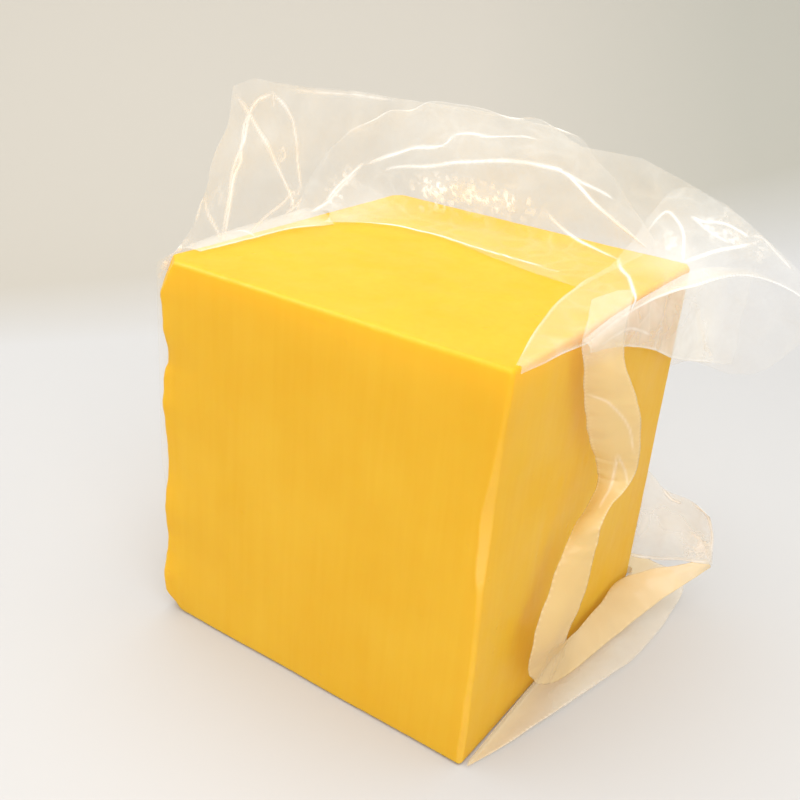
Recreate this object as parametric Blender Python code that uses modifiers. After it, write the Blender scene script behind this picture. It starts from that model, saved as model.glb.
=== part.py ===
"""A block of cheddar standing in its opened clear bag. Metres, +Z up, origin at the centre of the block's underside.

The block's front face looks along -Y and its right face along +X. Guide points of the bag are in millimetres."""
import math

import bmesh
import bpy
import numpy as np
from mathutils import Vector, noise

MM = 0.001

# Block
BLOCK_WIDTH = 0.123
BLOCK_DEPTH = 0.127
BLOCK_HEIGHT = 0.130
EDGE_RADIUS = 0.0026
FOOT_RADIUS = 0.0016
CUTS_PER_FACE = 19
FACE_RELIEF = 0.0004
RELIEF_LENGTH = 0.028

# Left edge of the front face: how far its ragged cut is set back, by height, in millimetres
LEFT_EDGE = (
    (0, 0.4), (8, -2.2), (14, -2.8), (25, -1.0), (31, -0.4), (41, -1.8), (54, 0.1),
    (65, 0.1), (81, -1.6), (93, 0.2), (96, 1.4), (106, -0.4), (120, -1.8), (130, -1.0),
)
LEFT_EDGE_REACH = 0.006

# Right edge of the front face: a broad hollow half way up
HOLLOW_HEIGHT = 0.082
HOLLOW_DEPTH = 0.0022
HOLLOW_SPREAD = 0.026
HOLLOW_REACH = 0.008
HOLLOW_RIPPLE = 0.0003
HOLLOW_RIPPLE_PITCH = 0.021

# Worn corners: which corner, and how far along X, Y and Z the wear reaches
WORN_CORNERS = (
    ((-1, -1, 1), (0.0062, 0.0058, 0.0105)),
    ((-1, -1, 0), (0.0080, 0.0065, 0.0065)),
    ((-1, 1, 1), (0.0055, 0.0055, 0.0045)),
    ((1, 1, 1), (0.0030, 0.0035, 0.0030)),
    ((1, 1, 0), (0.0040, 0.0040, 0.0050)),
)

# Bag film
FILM_THICKNESS = 0.0006
FILM_CLEARANCE = 0.0007
FLOOR_HEIGHT = 0.7

CHEESE_COLOUR = (0.80, 0.44, 0.045, 1.0)
FILM_COLOUR = (0.86, 0.85, 0.80, 1.0)
FILM_ALPHA = 0.35


def clear_scene():
    for obj in list(bpy.data.objects):
        bpy.data.objects.remove(obj, do_unlink=True)


def move_to(obj, collection):
    for home in list(obj.users_collection):
        home.objects.unlink(obj)
    collection.objects.link(obj)


def material(name, colour, roughness, alpha=1.0):
    made = bpy.data.materials.new(name)
    made.use_nodes = True
    shader = made.node_tree.nodes["Principled BSDF"]
    shader.inputs["Base Color"].default_value = colour
    shader.inputs["Roughness"].default_value = roughness
    shader.inputs["Metallic"].default_value = 0.0
    shader.inputs["Alpha"].default_value = alpha
    made.diffuse_color = colour[:3] + (alpha,)
    return made


# Block of cheese

def crowded(t, half, radius):
    """Place of a grid line: two lines lie within the rounded edge, and the others are spread evenly over the face."""
    steps = (CUTS_PER_FACE + 1) / 2
    from_edge = (1 - abs(t)) * steps
    places = (0.0, 0.42 * radius, 1.05 * radius)
    if from_edge <= 2:
        low = int(min(from_edge, 1.999))
        inset = places[low] + (places[low + 1] - places[low]) * (from_edge - low)
    else:
        inset = places[2] + (half - places[2]) * (from_edge - 2) / (steps - 2)
    return math.copysign(half - inset, t)


def rounded(point, half, radius):
    """The nearest point of a box with rounded edges, centred on the origin."""
    core = Vector([max(-h + radius, min(h - radius, c)) for c, h in zip(point, half)])
    out = point - core
    return core + out.normalized() * radius


def edge_wear(point):
    """How the two upright edges of the front face depart from a straight cut. The height is above the underside."""
    x, y, z = point
    left = math.hypot(x + BLOCK_WIDTH / 2, y + BLOCK_DEPTH / 2)
    right = math.hypot(x - BLOCK_WIDTH / 2, y + BLOCK_DEPTH / 2)
    heights, insets = np.array(LEFT_EDGE).T * MM
    wave = float(np.interp(z, heights, insets))
    hollow = HOLLOW_DEPTH * math.exp(-(((z - HOLLOW_HEIGHT) / HOLLOW_SPREAD) ** 2))
    hollow += HOLLOW_RIPPLE * (1 + math.sin(2 * math.pi * z / HOLLOW_RIPPLE_PITCH))
    move = Vector((0.25, 0.97, 0)) * wave * math.exp(-left / LEFT_EDGE_REACH)
    return move + Vector((-1.0, 0.35, 0)) * hollow * math.exp(-right / HOLLOW_REACH)


def wear_corner(point, corner, reach):
    """A point beyond the worn corner's plane is set back onto it."""
    place = Vector((
        corner[0] * BLOCK_WIDTH / 2,
        corner[1] * BLOCK_DEPTH / 2,
        corner[2] * BLOCK_HEIGHT,
    ))
    inward = Vector((-corner[0], -corner[1], 1 - 2 * corner[2]))
    normal = Vector([i / r for i, r in zip(inward, reach)])
    short = 1 - (point - place).dot(normal)
    if short > 0:
        point += normal * short / normal.length_squared
    return point


def make_block(collection):
    bpy.ops.mesh.primitive_cube_add(size=2)
    block = bpy.context.object
    block.name = block.data.name = "cheese_block"
    half = Vector((BLOCK_WIDTH, BLOCK_DEPTH, BLOCK_HEIGHT)) / 2
    mesh = bmesh.new()
    mesh.from_mesh(block.data)
    bmesh.ops.subdivide_edges(mesh, edges=mesh.edges[:], cuts=CUTS_PER_FACE, use_grid_fill=True)
    for vertex in mesh.verts:
        base = Vector([crowded(t, h, EDGE_RADIUS) for t, h in zip(vertex.co, half)])
        radius = FOOT_RADIUS if base.z < EDGE_RADIUS - half.z else EDGE_RADIUS
        point = rounded(base, half, radius)
        foot = point.z < -half.z + 1e-6
        point.z += half.z
        if not foot:
            away = (base - rounded(base, half, EDGE_RADIUS * 4)).normalized()
            core = Vector([max(-h + 0.02, min(h - 0.02, c)) for c, h in zip(base, half)])
            inward = (core - base).normalized()
            depth = FACE_RELIEF * (0.5 + 0.5 * noise.noise(point / RELIEF_LENGTH))
            depth += 0.3 * FACE_RELIEF * max(0.0, noise.noise(point / (0.35 * RELIEF_LENGTH) + away))
            point += inward * depth + edge_wear(point)
        for corner, reach in WORN_CORNERS:
            point = wear_corner(point, corner, reach)
        point.z = 0.0 if foot else max(point.z, 0.0002)
        vertex.co = point
    bmesh.ops.triangulate(mesh, faces=mesh.faces[:])
    mesh.to_mesh(block.data)
    mesh.free()
    block.data.shade_smooth()
    block.data.set_sharp_from_angle(angle=math.radians(50))
    block.data.materials.append(material("cheddar", CHEESE_COLOUR, 0.42))
    move_to(block, collection)
    return block


# Film sheets, each a grid that follows a few guide rows

def smooth_through(guides, count, axis):
    """Catmull-Rom points through guide points along one axis of an array."""
    guides = np.moveaxis(np.asarray(guides, float), axis, 0)
    last = len(guides) - 1
    at = np.linspace(0, last, count)
    index = np.minimum(at.astype(int), last - 1)
    part = (at - index).reshape((-1,) + (1,) * (guides.ndim - 1))
    padded = np.concatenate([2 * guides[:1] - guides[1:2], guides, 2 * guides[-1:] - guides[-2:-1]])
    before, start, end, after = (padded[index + k] for k in range(4))
    slope_in = (end - before) / 2
    slope_out = (after - start) / 2
    curve = (
        (2 * part**3 - 3 * part**2 + 1) * start
        + (part**3 - 2 * part**2 + part) * slope_in
        + (3 * part**2 - 2 * part**3) * end
        + (part**3 - part**2) * slope_out
    )
    return np.moveaxis(curve, 0, axis)


def keep_clear(points):
    """Moves points that are too near the block straight out from it. Points are in millimetres."""
    half = np.array((BLOCK_WIDTH, BLOCK_DEPTH, BLOCK_HEIGHT)) / 2 / MM
    centre = np.array((0, 0, half[2]))
    radius = EDGE_RADIUS / MM
    need = (FILM_CLEARANCE + FILM_THICKNESS / 2) / MM
    local = points - centre
    core = np.clip(local, -half + radius, half - radius)
    out = local - core
    length = np.linalg.norm(out, axis=-1, keepdims=True)
    way = out / np.maximum(length, 1e-6)
    short = np.maximum(radius + need - length, 0) * (length > 1e-6)
    return points + way * short


def grid_normals(points):
    along = np.gradient(points, axis=1)
    across = np.gradient(points, axis=0)
    normal = np.cross(along, across)
    return normal / np.maximum(np.linalg.norm(normal, axis=-1, keepdims=True), 1e-9)


def wrinkle(points, length, seed):
    """Soft noise from -1 to 1 at each point."""
    shift = Vector((seed * 7.3, seed * 3.1, seed * 1.7))
    flat = points.reshape(-1, 3)
    values = [noise.noise(Vector(p) / length + shift) for p in flat]
    return np.array(values).reshape(points.shape[:-1] + (1,))


def sheet(name, points, collection):
    """A solid of film thickness round a grid of points in millimetres, rows by columns."""
    rows, columns = points.shape[:2]
    bpy.ops.mesh.primitive_grid_add(x_subdivisions=columns - 1, y_subdivisions=rows - 1, size=2)
    made = bpy.context.object
    made.name = made.data.name = name
    flat = np.empty(rows * columns * 3)
    made.data.vertices.foreach_get("co", flat)
    flat = flat.reshape(-1, 3)
    column = np.rint((flat[:, 0] + 1) / 2 * (columns - 1)).astype(int)
    row = np.rint((flat[:, 1] + 1) / 2 * (rows - 1)).astype(int)
    made.data.vertices.foreach_set("co", (points[row, column] * MM).ravel())
    mesh = bmesh.new()
    mesh.from_mesh(made.data)
    bmesh.ops.triangulate(mesh, faces=mesh.faces[:])
    mesh.to_mesh(made.data)
    mesh.free()
    solidify = made.modifiers.new("film", "SOLIDIFY")
    solidify.thickness = FILM_THICKNESS
    solidify.offset = 0
    bpy.ops.object.modifier_apply(modifier=solidify.name)
    move_to(made, collection)
    return made


# The bag's left and back panel, and its tail to the right: X, Y, lower and upper edge
WRAP_STATIONS = (
    (-62.6, -63.9, 0.7, 128),
    (-62.6, -56.0, 0.7, 129.5),
    (-62.7, -47.0, 0.7, 136.5),
    (-62.8, -42.0, 0.7, 146),
    (-62.9, -36.0, 0.7, 159),
    (-62.9, -31.0, 0.7, 166),
    (-62.9, -29.2, 0.7, 177.5),
    (-62.9, -20.0, 0.7, 179.3),
    (-62.9, -9.0, 0.7, 177),
    (-62.9, 10.0, 0.7, 174),
    (-62.9, 36.0, 0.7, 171),
    (-62.9, 59.5, 0.7, 167),
    (-61.6, 63.8, 0.7, 166),
    (-57.5, 65.2, 0.7, 166),
    (-30.0, 65.3, 0.7, 167),
    (0.0, 65.3, 0.7, 166),
    (14.0, 65.3, 0.7, 161),
    (36.0, 65.3, 0.7, 161),
    (56.0, 65.3, 0.7, 155),
    (59.0, 65.6, 90, 154),
    (67.0, 67.2, 95, 151),
    (80.0, 67.5, 93, 144),
    (88.0, 67.8, 95, 139),
    (93.0, 68.0, 99, 136),
    (101.0, 67.0, 110.5, 130),
    (113.0, 65.0, 116, 121),
)
WRAP_SPACING = 8.0
WRAP_LOW_ROWS = 4
WRAP_HIGH_ROWS = 8
WRAP_SPLIT = 122.0


def make_wrap(collection):
    stations = np.array(WRAP_STATIONS)
    run = np.concatenate([[0], np.cumsum(np.hypot(*np.diff(stations[:, :2], axis=0).T))])
    spans = [np.linspace(a, b, math.ceil((b - a) / WRAP_SPACING), endpoint=False) for a, b in zip(run, run[1:])]
    at = np.concatenate(spans + [run[-1:]])
    x, y, low, high = (np.interp(at, run, stations[:, k]) for k in range(4))
    split = np.maximum(low + 0.3 * (high - low), np.minimum(WRAP_SPLIT, high - 5))
    lower = np.linspace(low, split, WRAP_LOW_ROWS, endpoint=False)
    upper = np.linspace(split, high, WRAP_HIGH_ROWS + 1)
    z = np.concatenate([lower, upper])
    points = np.stack([np.broadcast_to(x, z.shape), np.broadcast_to(y, z.shape), z], axis=-1)
    tuck = np.clip(1.2 - z / 50, 0, 1) * np.clip((-46 - y) / 18, 0, 1)
    points[..., 1] += 7 * tuck
    out = -grid_normals(points)
    free = np.clip((z - 128) / 14, 0, 1) + np.clip((x - 66) / 10, 0, 1)
    free = np.minimum(free, 1)[..., None]
    points += out * (0.5 + 0.5 * wrinkle(points, 24, 1)) * (0.5 + 1.6 * free)
    points += out * wrinkle(points, 9, 2) * 0.9 * free
    return sheet("wrap", keep_clear(points), collection)


# The hood: its ridge, an inner fold, where it meets the cheese, and its free edge there
HOOD_GUIDES = (
    ((-60, 2, 132), (-61, 27, 155), (-51, 57, 165), (-30, 64, 166), (0, 65, 166), (17, 65, 160), (48, 65, 133)),
    ((-55, 10, 133), (-57, 33, 138), (-48, 44, 145), (-25, 45, 151), (5, 46, 156), (26, 52, 148), (46, 61, 132)),
    ((-53, 8, 131), (-50, 26, 131), (-40, 38, 131), (-22, 42, 131), (4, 46, 131), (26, 50, 131), (46, 58, 131)),
    ((-51, 3, 131), (-40, 14, 131), (-30, 19, 131), (-12, 19, 131), (8, 14, 131), (26, 9, 131), (46, 6, 131)),
)
HOOD_COLUMNS = 24
HOOD_ROWS = 12
WRAP_LEFT = -64.6
WRAP_BACK = 67.6


def make_hood(collection):
    ridge = np.array(HOOD_GUIDES[0], float)
    border = ridge.copy()
    left = ridge[:, 0] - WRAP_LEFT < WRAP_BACK - ridge[:, 1]
    border[left, 0] = WRAP_LEFT
    border[~left, 1] = WRAP_BACK
    border[:, 2] -= 1.5
    guides = np.concatenate([border[None], HOOD_GUIDES])
    points = smooth_through(smooth_through(guides, HOOD_COLUMNS, 1), HOOD_ROWS, 0)
    free = np.clip((points[..., 2:] - 131.5) / 8, 0, 1)
    points += grid_normals(points) * wrinkle(points, 11, 3) * 1.8 * free
    points[..., 2:] += (1 - free) * (0.3 + 0.3 * wrinkle(points, 12, 4))
    return sheet("hood", keep_clear(points), collection)


# The flap over the right edge of the top: free edge on the cheese, crest, and hanging edge
FLAP_GUIDES = (
    ((61, -62, 131), (54, -40, 131), (47, -12, 131), (44, 12, 131), (43, 40, 132), (50, 69, 153), (74, 70, 146), (96, 71, 133), (110, 68, 122)),
    ((62.5, -62, 131), (62, -40, 131), (62, -16, 131), (61, 8, 132), (60, 34, 134), (64, 50, 139), (78, 59, 141), (96, 65, 131), (110, 66, 121)),
    ((63, -63, 129.5), (63.2, -42, 128), (63.4, -21, 126.5), (63.6, 2, 128), (64.5, 22, 128), (70, 39, 129.5), (80, 57, 131.5), (95, 63, 129), (110, 65, 120)),
)
FLAP_COLUMNS = 25
FLAP_ROWS = 8


def make_flap(collection):
    points = smooth_through(smooth_through(FLAP_GUIDES, FLAP_COLUMNS, 1), FLAP_ROWS, 0)
    free = np.clip((points[..., 2:] - 131.5) / 6, 0, 1)
    points += grid_normals(points) * wrinkle(points, 10, 5) * 1.6 * free
    points[..., 2:] += (1 - free) * 0.5 * (1 + wrinkle(points, 12, 6))
    return sheet("flap", keep_clear(points), collection)


# The layer below it, in front of the right face: X, Y, lower and upper edge
APRON_STATIONS = (
    (64.4, -24, 124.0, 127),
    (64.8, -8, 121, 129),
    (65.0, 10, 116, 129.5),
    (65.2, 30, 109, 129.5),
    (65.6, 48, 101, 129.5),
    (68.0, 60, 97, 130),
    (73.0, 66, 96, 131),
    (80.0, 71.5, 96, 132),
)
APRON_COLUMNS = 17
APRON_ROWS = 7
APRON_LEAN = 2.6


def make_apron(collection):
    x, y, low, high = smooth_through(APRON_STATIONS, APRON_COLUMNS, 0).T
    part = np.linspace(0, 1, APRON_ROWS)[:, None]
    z = low + (high - low) * part
    lean = APRON_LEAN * part**4 * np.clip((70 - y) / 10, 0, 1)
    points = np.stack([x - lean, np.broadcast_to(y, z.shape), z], axis=-1)
    points[..., :1] += wrinkle(points, 9, 7) * 0.9 * (1 - part[..., None] ** 2)
    return sheet("apron", keep_clear(points), collection)


# The ribbon of doubled film: its left and right edge, down, round its loop and back
RIBBON_LEFT = (
    (63.6, -30, 125), (65.6, -26, 112), (65.6, -17, 98), (66, -7, 83), (67, -10, 72), (67, -26, 57),
    (66.5, -36, 38), (67.5, -34, 20), (69, -10, 3), (74, 25, 3), (80, 49, 6), (90, 70, 15),
)
RIBBON_RIGHT = (
    (64.6, -12, 122), (72, -16, 112), (76, -6, 98), (76.6, 1, 83), (75, -4, 71), (75, -21, 55),
    (74, -29, 37), (72, -25, 28), (67, -2, 14), (65.4, 30, 14), (67.4, 50, 16), (84, 71, 20),
)
RIBBON_COLUMNS = 45
RIBBON_ROWS = 4
RIBBON_BOW = 1.2


def make_ribbon(collection):
    rows = smooth_through((RIBBON_LEFT, RIBBON_RIGHT), RIBBON_COLUMNS, 1)
    part = np.linspace(0, 1, RIBBON_ROWS)[:, None, None]
    points = rows[:1] + (rows[1:] - rows[:1]) * part
    normal = grid_normals(points)
    points += normal * (RIBBON_BOW * np.sin(math.pi * part) + 0.5 * wrinkle(points, 8, 8))
    return sheet("ribbon", keep_clear(points), collection)


# The bag's lower right corner, which stands up behind the block, from bottom to top
CORNER_GUIDES = (
    ((48, 67.4, 12), (59, 64.7, 10), (69, 66.5, 11), (80, 67, 15), (91, 67.5, 18)),
    ((48, 67.4, 28), (59, 64.7, 29), (69, 67, 27), (80, 68, 28), (89.5, 66, 30)),
    ((48, 67.4, 44), (59, 64.7, 49), (68, 67, 42), (78, 68, 41), (86.5, 65, 38)),
)
CORNER_COLUMNS = 12
CORNER_ROWS = 7


def make_corner(collection):
    points = smooth_through(smooth_through(CORNER_GUIDES, CORNER_COLUMNS, 1), CORNER_ROWS, 0)
    points[..., 1:2] += wrinkle(points, 9, 9) * 1.2 * np.clip((points[..., :1] - 64) / 8, 0, 1)
    return sheet("corner", keep_clear(points), collection)


# The skirt on the floor: its lip against the cheese, its bend and its free edge
SKIRT_GUIDES = (
    ((62.8, -61, 2), (62.8, -40, 3.5), (62.8, -8, 5), (62.8, 22, 6), (62.8, 50, 6), (62.6, 64, 5), (56, 64.8, 5), (48, 67.4, 5)),
    ((63.0, -62, 0.8), (63.4, -41, 0.8), (63.6, -8, 0.8), (63.6, 21, 0.8), (63.6, 50, 0.8), (63.8, 65.5, 0.8), (56, 66.3, 0.8), (48, 69, 0.8)),
    ((64, -64, 0.7), (71, -43, 0.7), (81, -8, 0.7), (84, 20, 0.7), (83.5, 50, 0.7), (80, 74, 0.7), (64, 82, 0.7), (50, 80, 0.7)),
)
SKIRT_COLUMNS = 27
SKIRT_ROWS = 6


def make_skirt(collection):
    points = smooth_through(smooth_through(SKIRT_GUIDES, SKIRT_COLUMNS, 1), SKIRT_ROWS, 0)
    away = np.clip((points[..., :1] - 66) / 8, 0, 1)
    points[..., 2:] += away * 0.8 * (1 + wrinkle(points, 11, 10))
    points[..., 2] = np.maximum(points[..., 2], FLOOR_HEIGHT)
    return sheet("skirt", keep_clear(points), collection)


def make_film(collection):
    """All sheets joined in one piece of film."""
    sheets = bpy.data.collections.new("film_sheets")
    bpy.context.scene.collection.children.link(sheets)
    film = make_wrap(collection)
    for make in (make_hood, make_flap, make_apron, make_ribbon, make_corner, make_skirt):
        make(sheets)
    film.name = film.data.name = "bag_film"
    bpy.context.view_layer.objects.active = film
    join = film.modifiers.new("join", "BOOLEAN")
    join.operation = "UNION"
    join.operand_type = "COLLECTION"
    join.collection = sheets
    join.solver = "MANIFOLD"
    bpy.ops.object.modifier_apply(modifier=join.name)
    for helper in list(sheets.objects):
        bpy.data.objects.remove(helper, do_unlink=True)
    bpy.data.collections.remove(sheets)
    film.data.shade_smooth()
    film.data.set_sharp_from_angle(angle=math.radians(60))
    film.data.materials.clear()
    film.data.materials.append(material("clear_film", FILM_COLOUR, 0.18, FILM_ALPHA))
    return film


def main():
    clear_scene()
    collection = bpy.data.collections.new("cheddar_block")
    bpy.context.scene.collection.children.link(collection)
    make_block(collection)
    make_film(collection)


main()
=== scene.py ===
"""A block of cheddar standing in its opened clear bag: the finished surfaces, the stage and the camera.

Guide points, reaches and distances are in millimetres. A fold or a crumple starts with its weight, and its line lies
in shares of the sheet, along it and across it. A haze is how milky film is, from 0 to 1."""

import bpy
import numpy as np
from bpy.props import FloatProperty, FloatVectorProperty, IntProperty, PointerProperty
from mathutils import Matrix, Vector, kdtree, noise


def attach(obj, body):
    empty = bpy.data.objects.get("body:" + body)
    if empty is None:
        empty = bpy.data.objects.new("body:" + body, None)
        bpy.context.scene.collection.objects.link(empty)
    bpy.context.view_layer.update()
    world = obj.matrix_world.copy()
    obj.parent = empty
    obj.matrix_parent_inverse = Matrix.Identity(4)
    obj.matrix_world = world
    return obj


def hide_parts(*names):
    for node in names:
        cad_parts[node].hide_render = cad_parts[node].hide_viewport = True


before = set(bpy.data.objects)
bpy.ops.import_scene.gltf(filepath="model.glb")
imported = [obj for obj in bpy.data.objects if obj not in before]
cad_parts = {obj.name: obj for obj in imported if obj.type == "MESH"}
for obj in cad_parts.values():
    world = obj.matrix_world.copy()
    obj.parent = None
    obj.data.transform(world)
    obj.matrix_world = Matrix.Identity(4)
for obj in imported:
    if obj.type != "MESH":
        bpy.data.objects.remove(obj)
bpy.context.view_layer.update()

bl_info = {
    "name": "Cheddar Block",
    "version": (1, 0, 0),
    "blender": (4, 5, 0),
    "location": "View3D > Sidebar > Cheddar",
    "description": "Builds a block of cheddar in its opened clear bag, with its stage",
    "category": "Add Mesh",
}

MM = 0.001

# Camera, at the photograph's viewing angle
CAMERA_PLACE = (0.16051, -0.27007, 0.22600)
CAMERA_RIGHT = (0.82129, 0.56527, 0.07717)
CAMERA_UP = (-0.29843, 0.31039, 0.90255)
CAMERA_BACK = (0.48623, -0.76429, 0.42361)
CAMERA_LENS = 45.34

# Block: ragged left edge of the front face, set back by height
LEFT_EDGE = (
    (0, 0.4), (8, -2.2), (14, -2.8), (25, -1), (31, -0.4), (41, -1.8), (54, 0.1), (65, 0.1),
    (81, -1.6), (90, -0.5), (93.5, 0.3), (94.5, 1.3), (99, 1.1), (106, -0.4), (120, -1.8), (130, -1),
)
LEFT_EDGE_REACH = 6.0
LEFT_EDGE_WAY = (0.25, 0.97, 0)
# Right edge of the front face: a broad hollow, and the width of the flat that is worn along it, by height
HOLLOW_HEIGHT = 82.0
HOLLOW_DEPTH = 2.2
HOLLOW_SPREAD = 26.0
HOLLOW_REACH = 8.0
HOLLOW_WAY = (-1, 0.35)
HOLLOW_RIPPLE = 21
FLAT_WIDTH = (
    (0, 1.7), (20, 1.6), (33, 1.3), (42, 1.2), (50, 1), (58, 1), (63, 1.2), (70, 1.7), (85, 2),
    (100, 1.4), (118, 0.9), (130, 0.6),
)
WORN_CORNERS = (
    ((-1, -1, 1), (6.2, 5.8, 10.5)),
    ((-1, -1, 0), (8, 6.5, 6.5)),
    ((-1, 1, 1), (5.5, 5.5, 4.5)),
    ((1, 1, 1), (3, 3.5, 3)),
    ((1, 1, 0), (4, 4, 5)),
)
# Grid of the block's faces: the lines beside an edge, and their spacing
EDGE_LINES = 12
EDGE_SPACING = 0.5
# Widths of the painted highlight along the edges and of the painted glow below the top edges, and where the painted
# highlight on the worn flat is brightest
EDGE_HIGHLIGHT_WIDTH = 0.7
GLOW_DEPTH = 7.0
GLOW_START = 1.8
FLAT_HIGHLIGHT_HEIGHT = 70
FLAT_HIGHLIGHT_REACH = 14
# Small dents and lumps: place, reach along X, Y and Z, and height, negative for a dent
MARKS = (
    ((61.5, -19.8, 80), (2, 1.3, 1.6), 0.35),
    ((61.5, -13.7, 78.3), (2, 0.8, 1.6), 0.30),
    ((61.5, -20.8, 69.7), (2, 1.2, 1.4), 0.32),
    ((61.5, -16.8, 67.8), (2, 0.9, 1.3), 0.28),
    ((61.5, -15.5, 60.5), (2, 0.7, 5), 0.22),
    ((61.5, -28.5, 62), (2, 2, 9), -0.35),
    ((61.5, -21, 46), (2, 4.5, 14), -0.40),
    ((61.5, -4.7, 82.1), (2, 1, 1.2), -0.60),
    ((61.5, -52.6, 95.6), (2, 3, 1.4), 0.20),
    ((61.5, -54.9, 80.7), (2, 2.4, 1), 0.22),
    ((61.5, -44, 88), (2, 9, 7), -0.25),
    ((61.5, 24, 97), (2, 4, 3), -0.30),
    ((17.9, -63.5, 83.1), (0.9, 2, 1.6), -0.45),
    ((0.1, -63.5, 125.9), (1.2, 2, 0.9), -0.40),
    ((5.8, -63.5, 119.4), (0.8, 2, 0.8), -0.35),
    ((-37.5, -31.5, 130), (3.6, 2.6, 2), 0.25),
    ((-26, -11.8, 130), (6.5, 0.9, 2), 0.30),
    ((-52, -50.8, 130), (2.5, 3, 2), 0.20),
)

# Film in general: facets of the smooth film and of crumples, their depth, and how much painted highlight whitens its
# creases
FACET_SIZE = 11.0
FINE_FACET_SIZE = 1.7
FINE_FACET_DEPTH = 0.15
FACET_BORDER = 0.07
FACET_HIGHLIGHT = 0.08
FOLD_LIFT = 0.15
# Film that is higher than this is free of the cheese's top
FREE_HEIGHT = 131.5
EDGE_HAZE = 0.10
DENSEST_FILM = 0.92
SHADOW_LEFT_OUT = 0.75

# Bag film, sheet by sheet. The panel along the left and back faces, and its tail: X, Y, lower and upper edge
WRAP_STATIONS = (
    (-62.6, -63.9, 0.7, 128), (-62.6, -56, 0.7, 129.5), (-62.7, -47, 0.7, 136.5), (-62.8, -42, 0.7, 146),
    (-62.9, -36, 0.7, 159), (-62.9, -31, 0.7, 166), (-62.9, -29.2, 0.7, 177.5), (-62.9, -20, 0.7, 179.3),
    (-62.9, -9, 0.7, 177), (-62.9, 10, 0.7, 174), (-62.9, 36, 0.7, 171), (-62.9, 59.5, 0.7, 167),
    (-61.6, 63.8, 0.7, 166), (-57.5, 65.2, 0.7, 166), (-30, 65.3, 0.7, 167), (0, 65.3, 0.7, 166),
    (14, 65.3, 0.7, 161), (36, 65.3, 0.7, 161), (56, 65.3, 0.7, 155), (59, 65.6, 90, 154),
    (67, 67.2, 95, 151), (80, 67.5, 93, 144), (88, 67.8, 95, 139), (93, 68, 99, 136),
    (101, 67, 110.5, 130), (113, 65, 116, 121),
)
WRAP_SPLIT = 122.0
WRAP_HAZE = 0.035
PEAK_HAZE = 0.11
BACK_HAZE = 0.07
WRAP_FOLDS = (
    (1, ((0.174, 0.98), (0.153, 0.964), (0.143, 0.944), (0.136, 0.906), (0.126, 0.884), (0.125, 0.86),
        (0.114, 0.838), (0.096, 0.796))),
    (0.7, ((0.153, 0.964), (0.136, 0.928), (0.128, 0.888), (0.116, 0.858), (0.094, 0.815))),
    (0.7, ((0.118, 0.982), (0.138, 0.944), (0.159, 0.904), (0.181, 0.858), (0.195, 0.824), (0.208, 0.792),
        (0.214, 0.772))),
    (0.6, ((0.174, 0.98), (0.191, 0.966), (0.203, 0.946), (0.213, 0.922), (0.225, 0.834), (0.229, 0.798))),
    (0.4, ((0.174, 0.98), (0.178, 0.956))),
    (0.5, ((0.073, 0.99), (0.079, 0.918), (0.096, 0.796))),
    (0.4, ((0.07, 0.998), (0.06, 0.99))),
    (0.5, ((0.208, 0.792), (0.196, 0.774), (0.163, 0.743), (0.133, 0.713))),
    (0.5, ((0.23, 0.78), (0.217, 0.764), (0.2, 0.752))),
    (0.45, ((0.202, 0.99), (0.274, 0.992), (0.352, 0.992), (0.412, 0.994))),
    (0.4, ((0.189, 0.874), (0.196, 0.878), (0.2, 0.864), (0.193, 0.856), (0.189, 0.868))),
    (0.5, ((0.881, 0.944), (0.896, 0.985), (0.916, 0.97), (0.932, 0.95))),
    (0.3, ((0.869, 0.82), (0.884, 0.902), (0.896, 0.985))),
    (0.35, ((0.872, 0.05), (0.856, 0.158), (0.836, 0.403))),
)
WRAP_CRUMPLES = (
    (1, 5, ((0.01, 0.985), (0.04, 0.98))),
    (0.6, 5, ((0.205, 0.775), (0.228, 0.785))),
    (0.15, 9, ((0.09, 0.93), (0.1, 0.86))),
    (0.35, 5, ((0.84, 0.9), (0.875, 0.9), (0.9, 0.85))),
)
# The hood: its ridge, an inner fold, where it meets the cheese, and its free edge there
HOOD_GUIDES = (
    ((-60, 2, 132), (-61, 27, 155), (-51, 57, 165), (-30, 64, 166), (0, 65, 166), (17, 65, 160), (48, 65, 133)),
    ((-55, 10, 133), (-57, 33, 138), (-48, 44, 145), (-25, 45, 151), (5, 46, 156), (26, 52, 148),
        (46, 61, 132)),
    ((-53, 8, 131), (-50, 26, 131), (-40, 38, 131), (-22, 42, 131), (4, 46, 131), (26, 50, 131), (46, 58, 131)),
    ((-51, 3, 131), (-40, 14, 131), (-30, 19, 131), (-12, 19, 131), (8, 14, 131), (26, 9, 131), (46, 6, 131)),
)
WRAP_LEFT = -64.6
WRAP_BACK = 67.6
HOOD_HAZE = 0.018
HOOD_VEIL = 0.1
HOOD_FOLDS = (
    (0.45, ((0.18, 0.177), (0.3, 0.19), (0.45, 0.177), (0.55, 0.17), (0.65, 0.18), (0.8, 0.177))),
    (0.5, ((0.2, 0.419), (0.277, 0.429), (0.353, 0.429), (0.451, 0.421), (0.467, 0.383))),
    (0.4, ((0.467, 0.383), (0.509, 0.378), (0.579, 0.388), (0.661, 0.376))),
    (0.6, ((0.202, 0.411), (0.148, 0.416), (0.086, 0.401), (0.036, 0.396))),
    (0.45, ((0.174, 0.429), (0.106, 0.424), (0.03, 0.409), (0.002, 0.343))),
    (0.6, ((0.281, 0.486), (0.401, 0.511), (0.501, 0.496), (0.607, 0.501), (0.675, 0.496), (0.745, 0.479),
        (0.792, 0.491), (0.842, 0.526), (0.9, 0.534), (0.95, 0.529), (0.992, 0.514))),
    (0.4, ((0.745, 0.479), (0.828, 0.461), (0.892, 0.414))),
    (0.5, ((0.715, 0.647), (0.754, 0.679), (0.816, 0.724), (0.87, 0.757), (0.966, 0.822))),
    (0.7, ((0.154, 0.99), (0.343, 0.99), (0.421, 0.985), (0.593, 0.977), (0.758, 0.952), (0.898, 0.955))),
)
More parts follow.
